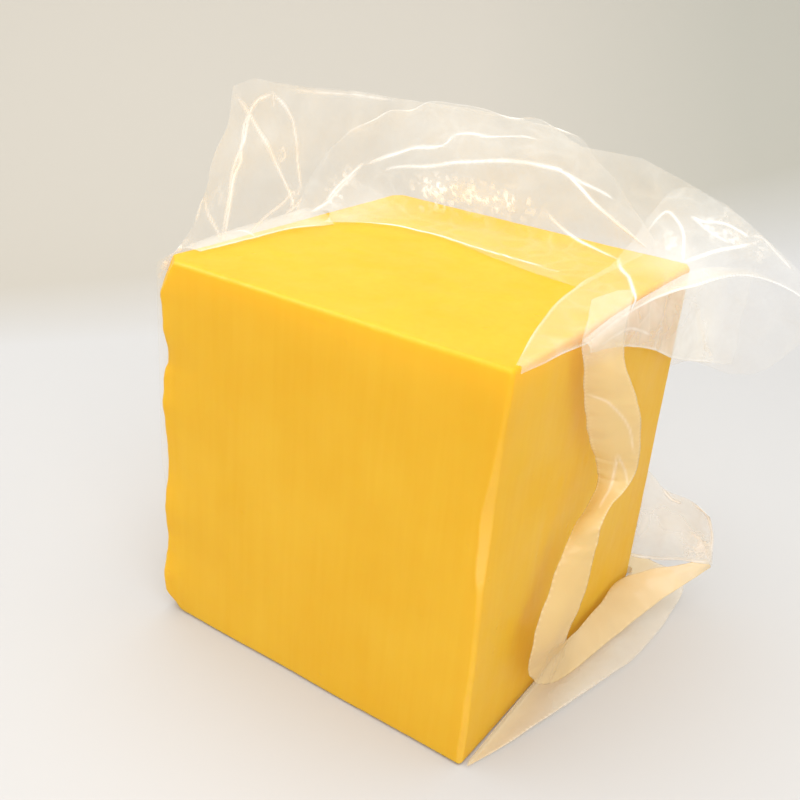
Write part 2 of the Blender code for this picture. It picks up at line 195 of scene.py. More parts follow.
HOOD_CRUMPLES = (
    (1, 4.5, ((0.39, 0.612), (0.45, 0.613), (0.5, 0.617), (0.562, 0.627), (0.689, 0.655))),
    (0.4, 4, ((0.03, 0.4), (0.09, 0.41), (0.16, 0.42))),
    (0.5, 4, ((0.455, 0.4), (0.48, 0.385))),
)
# The lip that lies on the top along its left edge: at the panel, and its free edge
LIP_GUIDES = (
    ((-63.2, -54, 130), (-63.3, -34, 131.6), (-63.3, -12, 132), (-62.6, 8, 133)),
    ((-58.5, -54, 131.2), (-59, -34, 132.2), (-58.5, -12, 132.6), (-56, 9, 133)),
    ((-55, -53, 130.9), (-53.6, -34, 131), (-53, -13, 131), (-47, 4, 131)),
)
LIP_HAZE = 0.11
LIP_FOLDS = (
    (0.25, ((0, 0.98), (0.33, 0.98), (0.66, 0.97), (0.9, 0.97))),
    (0.3, ((0.3, 0.1), (0.4, 0.5), (0.42, 0.95))),
)
# The flap over the right edge of the top: free edge on the cheese, crest, and hanging edge
FLAP_GUIDES = (
    ((61, -62, 131), (54, -40, 131), (47, -12, 131), (44, 12, 131), (43, 40, 132), (50, 69, 153),
        (74, 70, 146), (96, 71, 133), (110, 68, 122)),
    ((62.5, -62, 131), (62, -40, 131), (62, -16, 131), (61, 8, 132), (60, 34, 134), (64, 50, 139),
        (78, 59, 141), (96, 65, 131), (110, 66, 121)),
    ((63, -63, 129.5), (63.2, -42, 128), (63.4, -21, 126.5), (63.6, 2, 128), (64.5, 22, 128),
        (70, 39, 129.5), (80, 57, 131.5), (95, 63, 129), (110, 65, 120)),
)
FLAP_HAZE = 0.055
FLAP_VEIL = 0.07
FLAP_HANGING_HAZE = 0.065
# How strongly the hem along the flap's seam is tinted with painted bounce light from the cheese
FLAP_HEM_WARMTH = 0.3
FLAP_FOLDS = (
    (0.3, ((0.557, 0.087), (0.591, 0.097), (0.605, 0.234), (0.609, 0.365), (0.601, 0.492), (0.593, 0.619))),
    (0.35, ((0.03, 0.975), (0.25, 0.975), (0.5, 0.975), (0.75, 0.975), (0.97, 0.975))),
    (0.2, ((0.03, 0.02), (0.2, 0.02), (0.4, 0.02))),
    (0.4, ((0.637, 0.254), (0.669, 0.294), (0.729, 0.237), (0.762, 0.231))),
    (0.25, ((0.637, 0.254), (0.677, 0.385), (0.719, 0.488))),
    (0.45, ((0.597, 0.625), (0.675, 0.599), (0.731, 0.548), (0.764, 0.381))),
    (0.6, ((0.503, 0.023), (0.455, 0.241), (0.397, 0.492), (0.393, 0.776), (0.391, 0.93))),
)
FLAP_CRUMPLES = (
    (0.25, 4, ((0.65, 0.3), (0.7, 0.35), (0.74, 0.4))),
    (0.15, 6, ((0.56, 0.3), (0.6, 0.45))),
)
# The layer below it, in front of the right face: X, Y, lower and upper edge
APRON_STATIONS = (
    (64.4, -24, 124, 127), (64.8, -8, 121, 129), (65, 10, 116, 129.5), (65.2, 30, 109, 129.5),
    (65.6, 48, 101, 129.5), (68, 60, 97, 130), (73, 66, 96, 131), (80, 71.5, 96, 132),
)
APRON_LEAN = 2.6
APRON_HEIGHT = 38
APRON_HAZE = 0.26
# How strongly the apron is tinted with painted bounce light from the cheese, as a share of its haze
APRON_WARMTH = 0.3
APRON_FOLDS = (
    (0.2, ((0.06, 0.319), (0.207, 0.513), (0.375, 0.261))),
    (0.25, ((0.1, 0.015), (0.4, 0.015), (0.7, 0.015), (0.98, 0.015))),
)
# The ribbon of doubled film: its left and right edge, down, round its loop and back
RIBBON_LEFT = (
    (56, -8, 133.2), (61.5, -22, 132.8), (64.8, -31, 128.5), (65.6, -29, 120), (65.6, -25.5, 111),
    (66.2, -22, 101.5), (66.8, -17, 93), (67, -9, 83), (67, -6, 75), (67, -12, 70), (67, -21, 65),
    (66.8, -30, 49.5), (67.5, -38, 35), (67.5, -36, 20), (68.5, -14, 4), (73, 18, 3), (79, 47, 6), (90, 70, 15),
)
RIBBON_RIGHT = (
    (62.5, 9, 134), (67.5, -7, 132), (68, -8, 122.7), (72, -12, 116.7), (75, -8.6, 108.4),
    (76.5, -5, 99), (76.5, -1, 89), (76, 1, 80), (75.5, -5, 75.6), (75, -13, 74), (75, -18.3, 68.8),
    (74, -19, 45.4), (71.5, -21, 28), (68, -12, 19), (65, 4, 11), (64, 28, 9), (64.5, 52, 9), (88, 69.5, 18),
)
RIBBON_BOW = 1.0
RIBBON_LENGTH = 330
RIBBON_WIDTH = 13
RIBBON_FOLDS = (
    (0.3, ((0.36, 0.48), (0.43, 0.42), (0.49, 0.58), (0.54, 0.68))),
    (0.2, ((0.225, 0.05), (0.245, 0.45), (0.3, 0.75), (0.36, 0.85))),
    (0.2, ((0.36, 0.48), (0.41, 0.7), (0.45, 0.95))),
    (0.2, ((0, 0.015), (0.25, 0.015), (0.5, 0.015), (0.75, 0.015), (1, 0.015))),
    (0.2, ((0, 0.985), (0.25, 0.985), (0.5, 0.985), (0.75, 0.985), (1, 0.985))),
)
# The bag's lower right corner, which stands up behind the block, from bottom to top
CORNER_GUIDES = (
    ((48, 67.4, 12), (59, 64.7, 10), (69, 66.5, 11), (80, 67, 15), (91, 67.5, 18)),
    ((48, 67.4, 28), (59, 64.7, 29), (69, 67, 27), (80, 68, 28), (89.5, 66, 30)),
    ((48, 67.4, 44), (59, 64.7, 49), (68, 67, 42), (78, 68, 41), (86.5, 65, 38)),
)
CORNER_HAZE = 0.17
CORNER_FOLDS = (
    (0.8, ((0.756, 0.495), (0.866, 0.404), (0.933, 0.212), (0.985, 0.06))),
    (0.8, ((0.782, 0.97), (0.95, 0.97), (0.985, 0.687), (0.985, 0.091))),
    (0.6, ((0.479, 0.98), (0.571, 0.909), (0.655, 0.899))),
    (0.7, ((0.303, 0.02), (0.563, 0.02), (0.815, 0.02), (0.985, 0.051))),
)
CORNER_CRUMPLES = (
    (0.8, 5, ((0.85, 0.35), (0.95, 0.15))),
)
# The skirt on the floor: its lip against the cheese, its bend and its free edge
SKIRT_GUIDES = (
    ((62.8, -61, 2), (62.8, -40, 3.5), (62.8, -8, 5), (62.8, 22, 6), (62.8, 50, 6), (62.6, 64, 5),
        (56, 64.8, 5), (48, 67.4, 5)),
    ((63, -62, 0.8), (63.4, -41, 0.8), (63.6, -8, 0.8), (63.6, 21, 0.8), (63.6, 50, 0.8),
        (63.8, 65.5, 0.8), (56, 66.3, 0.8), (48, 69, 0.8)),
    ((63.8, -60, 0.7), (69, -43, 0.7), (77.6, -8, 0.7), (83.5, 20, 0.7), (84, 50, 0.7), (80.5, 74, 0.7),
        (64, 82, 0.7), (50, 80, 0.7)),
)
SKIRT_HAZE = 0.08
SKIRT_FOLDS = (
    (0.35, ((0.02, 0.99), (0.3, 0.99), (0.6, 0.99), (0.8, 0.99))),
)

# Stage: the sweep in metres, from in front of the block to where it turns up into the backdrop
SWEEP_START = -1.4
SWEEP_RUN = 3.4
SWEEP_TURN = 0.25
SWEEP_RADIUS = 0.35
SWEEP_HALF_WIDTH = 1.6
SWEEP_AWAY = (-0.643, 0.766)
SWEEP_SIDE = (0.766, 0.643)
LIGHTS_AIM = (0, 0, 0.08)


def length_property(name, description, default, **more):
    return FloatProperty(name=name, description=description, default=default, unit="LENGTH", **more)


def colour_property(name, description, default):
    return FloatVectorProperty(
        name=name, description=description, default=default, subtype="COLOR", size=3, min=0, max=1,
    )


class CheddarSettings(bpy.types.PropertyGroup):
    width: length_property("Width", "Front face, left to right", 0.123)
    depth: length_property("Depth", "Front face to back face", 0.127)
    height: length_property("Height", "Underside to top", 0.130)
    edge_radius: length_property("Edge Radius", "Rounding of the cut edges", 0.0015)
    relief: length_property("Relief", "Depth of the shallow waves in the faces", 0.0004)
    cuts: IntProperty(name="Cuts", description="Grid lines across each face", default=95, min=31, max=120)
    colour: colour_property("Colour", "Body of the cheese", (0.785, 0.45, 0.031))
    deep_colour: colour_property("Deep Colour", "Denser patches", (0.75, 0.40, 0.02))
    # Painted highlight: paler colour along the edges and on the worn flat
    edge_highlight_colour: colour_property("Edge Colour", "Thin, pale worn edges", (0.91, 0.57, 0.14))
    glow_colour: colour_property("Glow Colour", "Where light shines through below the top edges", (1.0, 0.52, 0.02))


class FilmSettings(bpy.types.PropertyGroup):
    thickness: length_property("Thickness", "Film thickness", 0.00012, precision=5)
    clearance: length_property("Clearance", "Gap between the film and the cheese", 0.0003, precision=5)
    spacing: length_property("Spacing", "Grid spacing of the crumpled film", 0.0007, precision=5)
    colour: colour_property("Colour", "Clear film", (0.885, 0.865, 0.80))
    crease_highlight_colour: colour_property("Crease Colour", "Folds and crumples that catch the light", (0.96, 0.97, 1.0))
    # Painted bounce light from the cheese, on the film beside it
    warm_bounce_colour: colour_property("Warm Colour", "Film in several layers beside the cheese", (0.82, 0.62, 0.31))


class StageSettings(bpy.types.PropertyGroup):
    floor_colour: colour_property("Floor Colour", "Floor", (0.555, 0.55, 0.545))
    wall_colour: colour_property("Wall Colour", "Backdrop", (0.475, 0.443, 0.385))
    shade_colour: colour_property("Shade Colour", "Right side of the backdrop", (0.405, 0.39, 0.335))
    sky: FloatProperty(name="Sky", description="Strength of the even light all round", default=0.86, min=0)
    key: FloatProperty(
        name="Key", description="Power of the overhead softbox", default=10.4, min=0, unit="POWER",
    )
    fill: FloatProperty(name="Fill", description="Power of the front light", default=7.0, min=0, unit="POWER")


# Mesh helpers

def deselect_all():
    bpy.ops.object.select_all(action="DESELECT")


def apply_modifier(piece, kind, **values):
    modifier = piece.modifiers.new(kind.lower(), kind)
    for key, value in values.items():
        setattr(modifier, key, value)
    bpy.context.view_layer.objects.active = piece
    bpy.ops.object.modifier_apply(modifier=modifier.name)


def coordinates(mesh):
    flat = np.empty(len(mesh.vertices) * 3)
    mesh.vertices.foreach_get("co", flat)
    return flat.reshape(-1, 3)


def put_mask(mesh, name, values):
    mask = mesh.attributes.new(name, "FLOAT", "POINT")
    mask.data.foreach_set("value", np.asarray(values, np.float32).ravel())


def soft_noise(points, length, seed):
    """Soft noise from -1 to 1 at each point, with waves about length long."""
    shift = np.array((7.3, 3.1, 1.7)) * seed
    flat = points.reshape(-1, 3) / length + shift
    return np.array([noise.noise(p) for p in flat]).reshape(points.shape[:-1])


def facets(points, length, seed):
    """A surface crumpled in facets about length wide.

    Gives its height from 0 to 1, how near each point is to a facet's border, and a random share from 0 to 1
    that is the same all over a facet, which sets where crumples get painted glints."""
    shift = np.array((5.1, 9.7, 2.3)) * seed
    flat = points.reshape(-1, 3) / length + shift
    found = [noise.voronoi(p) for p in flat]
    near = np.array([distances[:2] for distances, _ in found])
    middle = np.array([tuple(places[0]) for _, places in found])
    border = np.exp(-(near[:, 1] - near[:, 0]) / FACET_BORDER)
    glint = (np.sin(middle @ (12.7, 31.1, 7.4)) * 43.7) % 1
    return [values.reshape(points.shape[:-1]) for values in (near[:, 0], border, glint)]


def smooth_through(guides, count, axis):
    """Catmull-Rom points through guide points along one axis of an array."""
    guides = np.moveaxis(np.asarray(guides, float), axis, 0)
    last = len(guides) - 1
    at = np.linspace(0, last, count)
    index = np.minimum(at.astype(int), last - 1)
    part = (at - index).reshape((-1,) + (1,) * (guides.ndim - 1))
    padded = np.concatenate([2 * guides[:1] - guides[1:2], guides, 2 * guides[-1:] - guides[-2:-1]])
    before, start, end, after = (padded[index + k] for k in range(4))
    curve = (
        (2 * part**3 - 3 * part**2 + 1) * start
        + (part**3 - 2 * part**2 + part) * (end - before) / 2
        + (3 * part**2 - 2 * part**3) * end
        + (part**3 - part**2) * (after - start) / 2
    )
    return np.moveaxis(curve, 0, axis)


def grid_normals(points):
    normal = np.cross(np.gradient(points, axis=1), np.gradient(points, axis=0))
    return normal / np.maximum(np.linalg.norm(normal, axis=-1, keepdims=True), 1e-9)


# The cheese

def crowded(share, half, last):
    """Places of one side's grid lines, from -half to half: the outer ones lie close together, the others evenly."""
    steps = last / 2
    edge_steps = min(EDGE_LINES, int(steps / 2))
    from_edge = (1 - np.abs(share)) * steps
    near = from_edge * EDGE_SPACING
    band = EDGE_SPACING * edge_steps
    far = band + (half - band) * (from_edge - edge_steps) / (steps - edge_steps)
    return np.copysign(half - np.where(from_edge <= edge_steps, near, far), share)


def onto_box(points, half, radius):
    """Nearest points of a box with rounded edges."""
    core = np.clip(points, -half + radius, half - radius)
    out = points - core
    out /= np.maximum(np.linalg.norm(out, axis=1, keepdims=True), 1e-9)
    return core + out * radius


def edge_distance(points, half):
    """Distance from the nearest edge of the sharp box."""
    away = np.sort(half - np.abs(points), axis=1)
    return np.hypot(away[:, 0], away[:, 1])


def wear_left_edge(points, half):
    """The ragged edge, set back by height, with crumbs."""
    reach = np.exp(-np.hypot(points[:, 0] + half[0], points[:, 1] + half[1]) / LEFT_EDGE_REACH)
    heights, insets = np.array(LEFT_EDGE, float).T
    inset = np.interp(points[:, 2], heights, insets)
    crumbs = 0.45 * soft_noise(points, 5.5, 21) + 0.2 * soft_noise(points, 2.2, 22)
    return points + np.outer((inset + crumbs) * reach, LEFT_EDGE_WAY)


def wear_right_edge(points, half):
    """Cuts the hollow, then the narrow flat along it. Gives the points and how much each lies on the flat."""
    z = points[:, 2]
    hollow = HOLLOW_DEPTH * np.exp(-(((z - HOLLOW_HEIGHT) / HOLLOW_SPREAD) ** 2))
    hollow += 0.1 * (1 + np.sin(2 * np.pi * z / HOLLOW_RIPPLE)) + 0.15 * soft_noise(points * (0, 0, 1), 9, 23)
    reach = np.exp(-np.hypot(points[:, 0] - half[0], points[:, 1] + half[1]) / HOLLOW_REACH)
    moved = points + np.outer(hollow * reach, (*HOLLOW_WAY, 0))
    heights, widths = np.array(FLAT_WIDTH, float).T
    flat = np.interp(z, heights, widths) + 0.25 * soft_noise(points * (0, 0, 1), 3, 24)
    corner = np.array((half[0], -half[1])) + np.outer(hollow, HOLLOW_WAY)
    past = flat - ((corner[:, 0] - moved[:, 0]) + (moved[:, 1] - corner[:, 1]))
    moved[:, :2] += np.outer(np.clip(past, 0, None) / 2, (-1, 1))
    return moved, np.clip(past / 0.8 + 0.6, 0, 1) * (np.hypot(*(moved[:, :2] - corner).T) < 9)


def wear_corners(points, half):
    """Cuts each worn corner off by a slightly uneven plane."""
    for corner, reach in WORN_CORNERS:
        place = np.array((corner[0] * half[0], corner[1] * half[1], corner[2] * 2 * half[2]))
        normal = np.array((-corner[0], -corner[1], 1 - 2 * corner[2])) / np.array(reach)
        short = 1 - (points - place) @ normal + 0.08 * soft_noise(points, 3, 25)
        points = points + np.outer(np.clip(short, 0, None) / (normal @ normal), normal)
    return points


def make_cheese(settings):
    half = np.array((settings.width, settings.depth, settings.height)) / 2 / MM
    radius = settings.edge_radius / MM
    deselect_all()
    bpy.ops.mesh.primitive_cube_add(size=2)
    cheese = bpy.context.object
    cheese.name = cheese.data.name = "cheese"
    bpy.ops.object.mode_set(mode="EDIT")
    bpy.ops.mesh.select_all(action="SELECT")
    bpy.ops.mesh.subdivide(number_cuts=settings.cuts)
    bpy.ops.object.mode_set(mode="OBJECT")
    share = coordinates(cheese.data)
    base = np.stack([crowded(share[:, k], half[k], settings.cuts + 1) for k in range(3)], axis=1)
    points = onto_box(base, half, radius)
    outward = base - np.clip(base, -half + 20, half - 20)
    outward /= np.maximum(np.linalg.norm(outward, axis=1, keepdims=True), 1e-9)
    # Painted highlight along the edges, strongest on the left and fading towards the right
    ridge = np.exp(-((edge_distance(base, half) / EDGE_HIGHLIGHT_WIDTH) ** 2)) * np.clip(0.5 - 0.008 * base[:, 0], 0, 1)
    foot = points[:, 2] < -half[2] + 1e-3
    from_top = half[2] - points[:, 2]
    points[:, 2] += half[2]
    relief = settings.relief / MM
    depth = relief * (0.5 + 0.5 * soft_noise(points, 28, 0))
    depth += 0.3 * relief * np.maximum(0, soft_noise(points, 9.8, 1))
    depth += 0.05 * soft_noise(points * (1, 1, 0.25), 1.9, 2)
    raised = np.zeros(len(points))
    for place, reach, height in MARKS:
        gap = (points - np.array(place)) / np.array(reach)
        raised += height * np.exp(-(gap**2).sum(axis=1))
    points = points + outward * (raised - depth)[:, None]
    points = wear_left_edge(points, half)
    points, flat = wear_right_edge(points, half)
    points = wear_corners(points, half)
    points[:, 2] = np.where(foot, 0.0, np.maximum(points[:, 2], 0.2))
    cheese.data.vertices.foreach_set("co", (points * MM).ravel())
    glow = np.exp(-np.maximum(from_top, 0) / GLOW_DEPTH) * np.clip(from_top / GLOW_START, 0, 1)
    ridge *= 1 + 0.8 * soft_noise(points, 5, 26)
    # Painted highlight on the worn flat, brightest about 70 mm up
    flat_highlight = 0.45 + 0.5 * np.exp(-(((points[:, 2] - FLAT_HIGHLIGHT_HEIGHT) / FLAT_HIGHLIGHT_REACH) ** 2))
    put_mask(cheese.data, "ridge", np.maximum(ridge, flat_highlight * flat))
    put_mask(cheese.data, "glow", glow)
    deselect_all()
    cheese.select_set(True)
    bpy.context.view_layer.objects.active = cheese
    bpy.ops.object.shade_smooth()
    cheese.data.materials.append(cheddar_material(settings))
    return cheese


# The film

def keep_clear(points, half, radius, need):
    """Moves points that are too near the block straight out from it."""
    centre = np.array((0, 0, half[2]))
    core = np.clip(points - centre, -half + radius, half - radius)
    out = points - centre - core
    length = np.linalg.norm(out, axis=-1, keepdims=True)
    short = np.maximum(radius + need - length, 0) * (length > 1e-6)
    return points + out / np.maximum(length, 1e-6) * short


def path_on(points, path):
    """Dense points along a path given in shares of a grid of points."""
    rows, columns = points.shape[:2]
    smooth = smooth_through(path, 24 * len(path), 0)
    u = np.clip(smooth[:, 0], 0, 1) * (columns - 1)
    v = np.clip(smooth[:, 1], 0, 1) * (rows - 1)
    i = np.minimum(u.astype(int), columns - 2)
    j = np.minimum(v.astype(int), rows - 2)
    a, b = (u - i)[:, None], (v - j)[:, None]
    low = points[j, i] * (1 - a) + points[j, i + 1] * a
    high = points[j + 1, i] * (1 - a) + points[j + 1, i + 1] * a
    return low * (1 - b) + high * b


def nearest_on(points, paths):
    """Each point's distance to the nearest path, and that path's weight there, which fades at its ends."""
    dense, weights = [], []
    for weight, line in paths:
        along = np.linspace(0, 1, len(line))
        fade = np.minimum(1, 6 * np.minimum(along, along[::-1]) + 0.25)
        dense.extend(line)
        weights.extend(weight * fade)
    tree = kdtree.KDTree(len(dense))
    for index, place in enumerate(dense):
        tree.insert(place, index)
    tree.balance()
    found = [tree.find(p)[1:] for p in points.reshape(-1, 3)]
    index = np.array([f[0] for f in found])
    distance = np.array([f[1] for f in found])
    return distance.reshape(points.shape[:-1]), np.array(weights)[index].reshape(points.shape[:-1])


def fold_marks(points, folds):
    """Painted highlight along the sharp folds, with a faint painted sheen beside them, and their height."""
    distance, weight = nearest_on(points, [(w, path_on(points, path)) for w, path in folds])
    line = weight * np.exp(-((distance / (0.38 + 0.22 * weight)) ** 2))
    return np.minimum(line + 0.04 * weight * np.exp(-distance / 2.2), 1), weight * np.exp(-distance / 1.6)


def crumple_weight(points, crumples):
    """How crumpled each point is, from weight, radius and line of each crumple."""
    total = np.zeros(points.shape[:-1])
    for weight, radius, path in crumples:
        distance, fade = nearest_on(points, [(weight, path_on(points, path))])
        total = np.maximum(total, fade * np.exp(-((distance / radius) ** 2)))
    return total


def spread_count(points, axis, spacing):
    """How many grid lines a surface needs along an axis for a spacing."""
    steps = np.linalg.norm(np.diff(points, axis=axis), axis=-1)
    return int(np.ceil(steps.sum(axis=axis).max() / spacing)) + 1


def finish_sheet(
    name, points, side, settings, seed, folds=(), crumples=(), waves=0.35, low=0.3, haze=0.04, doubled_and_bounce=0.0,
):
    """A shell of film round a grid of points, creased along its folds.

    side is the way in which folds stand out, waves the height of the facets and low the least height over the floor.
    haze is how milky the film is, and the last argument how much the film is doubled and tinted with painted bounce
    light from the cheese, each as one number or one per point."""
    film = settings.film
    cheese = settings.cheese
    normal = grid_normals(points) * side
    crease_highlight, lift = fold_marks(points, folds) if folds else (0, 0)
    height, border, _ = facets(points, FACET_SIZE, seed)
    rough = 0.5 + 0.5 * soft_noise(points, 17, seed + 1)
    move = waves * (1.2 * height - 0.6) + FOLD_LIFT * lift
    # Painted highlight: faint white lines along the borders of the facets of clear film
    crease_highlight = np.maximum(crease_highlight, FACET_HIGHLIGHT * border * rough * (1 - np.asarray(doubled_and_bounce)))
    if crumples:
        weight = crumple_weight(points, crumples)
        fine, _, glint = facets(points, FINE_FACET_SIZE, seed + 2)
        move = move + weight * FINE_FACET_DEPTH * (fine - 0.3)
        # Painted glints: some facets of a crumple are whitened as if they caught the light
        crease_highlight = np.maximum(crease_highlight, weight * np.clip(3 * glint - 1.5, 0.15, 1))
    points = points + normal * move[..., None]
    half = np.array((cheese.width, cheese.depth, cheese.height)) / 2 / MM
    need = (film.clearance + film.thickness / 2) / MM
    points = keep_clear(points, half, cheese.edge_radius / MM, need)
    points[..., 2] = np.maximum(points[..., 2], low)
    rows, columns = points.shape[:2]
    deselect_all()
    bpy.ops.mesh.primitive_grid_add(x_subdivisions=columns - 1, y_subdivisions=rows - 1, size=2)
    piece = bpy.context.object
    piece.name = piece.data.name = name
    flat = coordinates(piece.data)
    column = np.rint((flat[:, 0] + 1) / 2 * (columns - 1)).astype(int)
    row = np.rint((flat[:, 1] + 1) / 2 * (rows - 1)).astype(int)
    piece.data.vertices.foreach_set("co", (points[row, column] * MM).ravel())
    for mask, values in (("crease_highlight", crease_highlight), ("haze", haze), ("doubled_and_bounce", doubled_and_bounce)):
        put_mask(piece.data, mask, np.broadcast_to(values, points.shape[:-1])[row, column])
    apply_modifier(piece, "SOLIDIFY", thickness=film.thickness, offset=0)
    bpy.ops.object.shade_smooth()
    piece.data.materials.clear()
    piece.data.materials.append(bpy.data.materials.get("film_surface") or film_material(film))
    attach(piece, "root")
    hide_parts("bag_film")
    return piece


def wrap_points(spacing):
    """The panel's grid, and the share of its height at which each point lies. Its rows are closer above the split."""
    stations = np.array(WRAP_STATIONS)
    run = np.concatenate([[0], np.cumsum(np.hypot(*np.diff(stations[:, :2], axis=0).T))])
    at = np.linspace(0, run[-1], int(run[-1] / spacing))
    x, y, low, high = (np.interp(at, run, stations[:, k]) for k in range(4))
    split = np.maximum(low + 0.3 * (high - low), np.minimum(WRAP_SPLIT, high - 5))
    lower = np.linspace(low, split, 26, endpoint=False)
    upper = np.linspace(split, high, int(58 / spacing))
    z = np.concatenate([lower, upper])
    points = np.stack([np.broadcast_to(x, z.shape), np.broadcast_to(y, z.shape), z], axis=-1)
    shares = (z - low) / (high - low)
    tuck = np.clip(1.2 - z / 50, 0, 1) * np.clip((-46 - y) / 18, 0, 1)
    points[..., 1] += 7 * tuck
    out = -grid_normals(points)
    free = np.minimum(np.clip((z - 128) / 14, 0, 1) + np.clip((x - 66) / 10, 0, 1), 1)
    points += out * ((0.5 + 0.5 * soft_noise(points, 24, 1)) * (0.3 + 1.6 * free))[..., None]
    points += out * (soft_noise(points, 9, 2) * 0.9 * free)[..., None]
    return points, shares


def to_rows(paths, shares):
    """Paths across a sheet whose rows aren't evenly spread, in shares of its rows."""
    rows, columns = shares.shape
    grid = np.arange(rows) / (rows - 1)
    moved = []
    for *front, path in paths:
        column = [min(int(u * (columns - 1)), columns - 1) for u, _ in path]
        line = tuple((u, float(np.interp(v, shares[:, c], grid))) for (u, v), c in zip(path, column))
        moved.append((*front, line))
    return moved


def hood_points(spacing):
    """The hood's grid, which starts at the panel's own line so that no gap shows along its ridge."""
    ridge = np.array(HOOD_GUIDES[0], float)
    border = ridge.copy()
    left = ridge[:, 0] - WRAP_LEFT < WRAP_BACK - ridge[:, 1]
    border[left, 0] = WRAP_LEFT
    border[~left, 1] = WRAP_BACK
    border[:, 2] -= 1.5
    points = surface_through(np.concatenate([border[None], HOOD_GUIDES]), spacing)
    free = np.clip((points[..., 2] - FREE_HEIGHT) / 8, 0, 1)
    points += grid_normals(points) * (soft_noise(points, 11, 3) * 1.8 * free)[..., None]
    points[..., 2] += (1 - free) * (0.1 + 0.2 * soft_noise(points, 12, 4))
    return points


def surface_through(guides, spacing):
    """A smooth grid through rows of guide points."""
    coarse = smooth_through(smooth_through(guides, 60, 1), 40, 0)
    columns = spread_count(coarse, 1, spacing)
    rows = spread_count(coarse, 0, spacing)
    return smooth_through(smooth_through(guides, columns, 1), rows, 0)


def flap_points(spacing):
    points = surface_through(FLAP_GUIDES, spacing)
    free = np.clip((points[..., 2] - FREE_HEIGHT) / 6, 0, 1)
    points += grid_normals(points) * (soft_noise(points, 10, 5) * 1.6 * free)[..., None]
    points[..., 2] += (1 - free) * 0.4 * soft_noise(points, 12, 6)
    return points


def apron_points(spacing):
    x, y, low, high = smooth_through(APRON_STATIONS, int(125 / spacing), 0).T
    part = np.linspace(0, 1, int(APRON_HEIGHT / spacing))[:, None]
    z = low + (high - low) * part
    lean = APRON_LEAN * part**4 * np.clip((70 - y) / 10, 0, 1)
    points = np.stack([x - lean, np.broadcast_to(y, z.shape), z], axis=-1)
    points[..., 0] += soft_noise(points, 9, 7) * 0.9 * (1 - part**2)
    return points


def ribbon_points(spacing):
    rows = smooth_through((RIBBON_LEFT, RIBBON_RIGHT), int(RIBBON_LENGTH / spacing), 1)
    ragged = 0.9 * soft_noise(rows, 6, 11) + 0.4 * soft_noise(rows, 2.5, 12)
    rows[..., 1] += ragged * np.clip((126 - rows[..., 2]) / 6, 0, 1)
    part = np.linspace(0, 1, int(RIBBON_WIDTH / spacing))[:, None, None]
    points = rows[:1] + (rows[1:] - rows[:1]) * part
    bow = RIBBON_BOW * np.sin(np.pi * part[..., 0]) + 0.5 * soft_noise(points, 8, 8)
    return points + grid_normals(points) * bow[..., None]


def corner_points(spacing):
    points = surface_through(CORNER_GUIDES, spacing)
    points[..., 1] += soft_noise(points, 9, 9) * 1.2 * np.clip((points[..., 0] - 64) / 8, 0, 1)
    return points


def skirt_points(spacing):
    points = surface_through(SKIRT_GUIDES, spacing)
    away = np.clip((points[..., 0] - 66) / 8, 0, 1)
    points[..., 2] += away * 0.8 * (1 + soft_noise(points, 11, 10))
    return points


# Materials

def new_material(name):
    made = bpy.data.materials.new(name)
    made.use_nodes = True
    return made, made.node_tree, made.node_tree.nodes["Principled BSDF"]


def join(tree, source, target):
    tree.links.new(source, target)


def give(tree, value, socket):
    """Joins a socket to another one, or sets its value."""
    if isinstance(value, bpy.types.NodeSocket):
        tree.links.new(value, socket)
    else:
        socket.default_value = value


def math_node(tree, operation, first, second):
    made = tree.nodes.new("ShaderNodeMath")
    made.operation = operation
    give(tree, first, made.inputs[0])
    give(tree, second, made.inputs[1])
    return made.outputs[0]


def mix_colour(tree, share, first, second):
    made = tree.nodes.new("ShaderNodeMix")
    made.data_type = "RGBA"
    give(tree, share, made.inputs[0])
    for socket, colour in ((made.inputs[6], first), (made.inputs[7], second)):
        give(tree, (*colour, 1) if isinstance(colour, tuple) else colour, socket)
    return made.outputs[2]


def object_noise(tree, scale, detail=2.0, stretch=(1, 1, 1)):
    place = tree.nodes.new("ShaderNodeTexCoord")
    mapping = tree.nodes.new("ShaderNodeMapping")
    mapping.inputs["Scale"].default_value = stretch
    texture = tree.nodes.new("ShaderNodeTexNoise")
    texture.inputs["Scale"].default_value = scale
    texture.inputs["Detail"].default_value = detail
    tree.links.new(place.outputs["Object"], mapping.inputs["Vector"])
    tree.links.new(mapping.outputs["Vector"], texture.inputs["Vector"])
    return texture.outputs["Fac"]


def between(tree, value, low, high, to_low=0.0, to_high=1.0):
    made = tree.nodes.new("ShaderNodeMapRange")
    made.inputs["From Min"].default_value = low
    made.inputs["From Max"].default_value = high
    made.inputs["To Min"].default_value = to_low
    made.inputs["To Max"].default_value = to_high
    tree.links.new(value, made.inputs["Value"])
    return made.outputs["Result"]


def mask_of(tree, name):
    made = tree.nodes.new("ShaderNodeAttribute")
    made.attribute_name = name
    return made.outputs["Fac"]


def weighted_sum(tree, *terms):
    """Sum of values, each times its weight."""
    total, *rest = [math_node(tree, "MULTIPLY", value, weight) for value, weight in terms]
    for term in rest:
        total = math_node(tree, "ADD", total, term)
    return total


